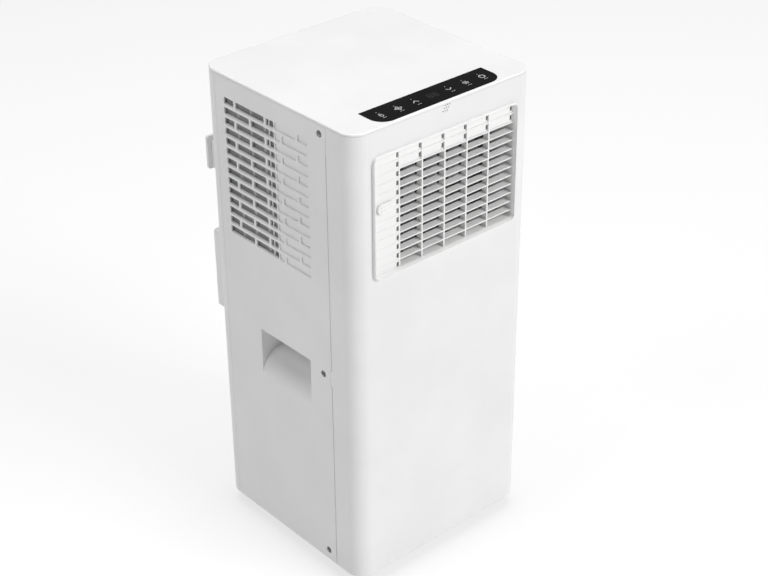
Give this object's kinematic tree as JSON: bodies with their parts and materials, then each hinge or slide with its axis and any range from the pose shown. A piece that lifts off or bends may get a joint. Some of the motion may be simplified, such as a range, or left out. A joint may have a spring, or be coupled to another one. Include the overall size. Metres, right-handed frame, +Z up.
{
  "type": "portable air conditioner",
  "caption": "Upright room air conditioner on casters with front outlet grille, top touch strip, side intakes with scooped handles, rear filter door, hot-air duct collar and cooling circuit.",
  "frame": {"origin": "on the floor, under the middle of the overall box", "axes": "+Z up; the front outlet faces -Y; +X is the right-hand side seen from the front"},
  "size_m": [0.3, 0.343, 0.68],
  "materials": {
    "case_white": "fine texture",
    "grille_white": "satin",
    "strip_black": "high gloss",
    "board_green": "satin",
    "zinc_steel": "zinc plated",
    "filter_net": "woven net",
    "black_nylon": "satin",
    "wheel_black": "satin",
    "black_rubber": "matt",
    "grey_rubber": "matt",
    "fin_aluminium": "thin sheet",
    "copper": "drawn tube",
    "shell_black": "gloss enamel",
    "fan_plastic": "natural",
    "duct_plastic": "natural",
    "motor_steel": "galvanised",
    "box_plastic": "flame-retardant",
    "can_aluminium": "drawn",
    "float_white": "foam"
  },
  "bodies": {
    "case": {"accumulator": "shell_black", "base_pan": "black_nylon", "casing_screws": "zinc_steel", "compressor": "shell_black", "compressor_grommets": "black_rubber", "compressor_nuts": "zinc_steel", "condenser_fins": "fin_aluminium", "condenser_tubes": "copper", "control_board": "board_green", "control_overlay": "strip_black", "cord_gland": "black_nylon", "cord_hooks": "case_white", "discharge_pipe": "copper", "drain_plugs": "grey_rubber", "drip_deck": "duct_plastic", "duct_seat": "case_white", "electrical_box": "box_plastic", "electrical_lid": "box_plastic", "evaporator_fins": "fin_aluminium", "evaporator_tubes": "copper", "exhaust_elbow": "duct_plastic", "front_shell": "case_white", "left_panel": "case_white", "liquid_line": "copper", "lower_fan_motor": "motor_steel", "lower_fan_scroll": "duct_plastic", "lower_filter": "filter_net", "lower_grille": "case_white", "main_board": "board_green", "outlet_grille": "grille_white", "rear_shell": "case_white", "right_panel": "case_white", "run_capacitor": "can_aluminium", "side_filters": "filter_net", "splash_motor": "motor_steel", "suction_pipe": "copper", "top_cover": "case_white", "upper_fan_housing": "duct_plastic", "upper_fan_motor": "motor_steel"},
    "louvre_link": {"louvre_link": "grille_white"},
    "louvre_vane_1": {"louvre_vane_1": "grille_white"},
    "louvre_vane_2": {"louvre_vane_2": "grille_white"},
    "louvre_vane_3": {"louvre_vane_3": "grille_white"},
    "louvre_vane_4": {"louvre_vane_4": "grille_white"},
    "louvre_vane_5": {"louvre_vane_5": "grille_white"},
    "filter_door": {"filter_door": "case_white", "upper_filter": "filter_net"},
    "duct_collar": {"duct_collar": "case_white"},
    "caster_fl": {"caster_fork_fl": "black_nylon"},
    "wheels_fl": {"caster_wheels_fl": "wheel_black"},
    "caster_fr": {"caster_fork_fr": "black_nylon"},
    "wheels_fr": {"caster_wheels_fr": "wheel_black"},
    "caster_rl": {"caster_fork_rl": "black_nylon"},
    "wheels_rl": {"caster_wheels_rl": "wheel_black"},
    "caster_rr": {"caster_fork_rr": "black_nylon"},
    "wheels_rr": {"caster_wheels_rr": "wheel_black"},
    "upper_fan": {"upper_fan_wheel": "fan_plastic"},
    "lower_fan": {"lower_fan_wheel": "fan_plastic"},
    "splash_wheel": {"splash_wheel": "fan_plastic"},
    "float_ball": {"float_ball": "float_white"}
  },
  "joints": [
    {"name": "louvre_slide", "type": "slide", "parent": "case", "child": "louvre_link", "axis": [1, 0, 0], "range_m": [-0.00338, 0.00338]},
    {"name": "vane_1_turn", "type": "hinge", "parent": "case", "child": "louvre_vane_1", "pos_m": [-0.0561, -0.1415, 0.55], "axis": [0, 0, 1], "range_deg": [-25.1, 25.1]},
    {"name": "vane_2_turn", "type": "hinge", "parent": "case", "child": "louvre_vane_2", "pos_m": [-0.0187, -0.1415, 0.55], "axis": [0, 0, 1], "range_deg": [-25.1, 25.1]},
    {"name": "vane_3_turn", "type": "hinge", "parent": "case", "child": "louvre_vane_3", "pos_m": [0.0187, -0.1415, 0.55], "axis": [0, 0, 1], "range_deg": [-25.1, 25.1]},
    {"name": "vane_4_turn", "type": "hinge", "parent": "case", "child": "louvre_vane_4", "pos_m": [0.0561, -0.1415, 0.55], "axis": [0, 0, 1], "range_deg": [-25.1, 25.1]},
    {"name": "vane_5_turn", "type": "hinge", "parent": "case", "child": "louvre_vane_5", "pos_m": [0.0935, -0.1415, 0.55], "axis": [0, 0, 1], "range_deg": [-25.1, 25.1]},
    {"name": "filter_door_hinge", "type": "hinge", "parent": "case", "child": "filter_door", "pos_m": [0, 0.1215, 0.476], "axis": [-1, 0, 0], "range_deg": [0, 80]},
    {"name": "duct_collar_turn", "type": "hinge", "parent": "case", "child": "duct_collar", "pos_m": [0, 0.1465, 0.367], "axis": [0, -1, 0], "range_deg": [0, 30]},
    {"name": "caster_fl_swivel", "type": "hinge", "parent": "case", "child": "caster_fl", "pos_m": [-0.088, -0.1205, 0.04], "axis": [0, 0, 1], "continuous": true},
    {"name": "caster_fl_roll", "type": "hinge", "parent": "caster_fl", "child": "wheels_fl", "pos_m": [-0.078, -0.1205, 0.018], "axis": [0, 1, 0], "continuous": true},
    {"name": "caster_fr_swivel", "type": "hinge", "parent": "case", "child": "caster_fr", "pos_m": [0.088, -0.1205, 0.04], "axis": [0, 0, 1], "continuous": true},
    {"name": "caster_fr_roll", "type": "hinge", "parent": "caster_fr", "child": "wheels_fr", "pos_m": [0.088, -0.1305, 0.018], "axis": [1, 0, 0], "continuous": true},
    {"name": "caster_rl_swivel", "type": "hinge", "parent": "case", "child": "caster_rl", "pos_m": [-0.112, 0.0905, 0.04], "axis": [0, 0, 1], "continuous": true},
    {"name": "caster_rl_roll", "type": "hinge", "parent": "caster_rl", "child": "wheels_rl", "pos_m": [-0.1214, 0.09392, 0.018], "axis": [-0.342, -0.9397, 0], "continuous": true},
    {"name": "caster_rr_swivel", "type": "hinge", "parent": "case", "child": "caster_rr", "pos_m": [0.112, 0.0905, 0.04], "axis": [0, 0, 1], "continuous": true},
    {"name": "caster_rr_roll", "type": "hinge", "parent": "caster_rr", "child": "wheels_rr", "pos_m": [0.117, 0.09916, 0.018], "axis": [-0.866, 0.5, 0], "continuous": true},
    {"name": "upper_fan_spin", "type": "hinge", "parent": "case", "child": "upper_fan", "pos_m": [0, -0.0865, 0.556], "axis": [1, 0, 0], "continuous": true},
    {"name": "lower_fan_spin", "type": "hinge", "parent": "case", "child": "lower_fan", "pos_m": [0, 0.0335, 0.178], "axis": [0, 1, 0], "continuous": true},
    {"name": "splash_spin", "type": "hinge", "parent": "case", "child": "splash_wheel", "pos_m": [0.045, 0.0535, 0.06], "axis": [0, 1, 0], "continuous": true},
    {"name": "float_rise", "type": "slide", "parent": "case", "child": "float_ball", "axis": [0, 0, 1], "range_m": [0, 0.012]}
  ],
  "couplings": [
    {"joint": "vane_1_turn", "follows": "louvre_slide", "rad_per_m": -129.06},
    {"joint": "vane_2_turn", "follows": "louvre_slide", "rad_per_m": -129.06},
    {"joint": "vane_3_turn", "follows": "louvre_slide", "rad_per_m": -129.06},
    {"joint": "vane_4_turn", "follows": "louvre_slide", "rad_per_m": -129.06},
    {"joint": "vane_5_turn", "follows": "louvre_slide", "rad_per_m": -129.06}
  ]
}
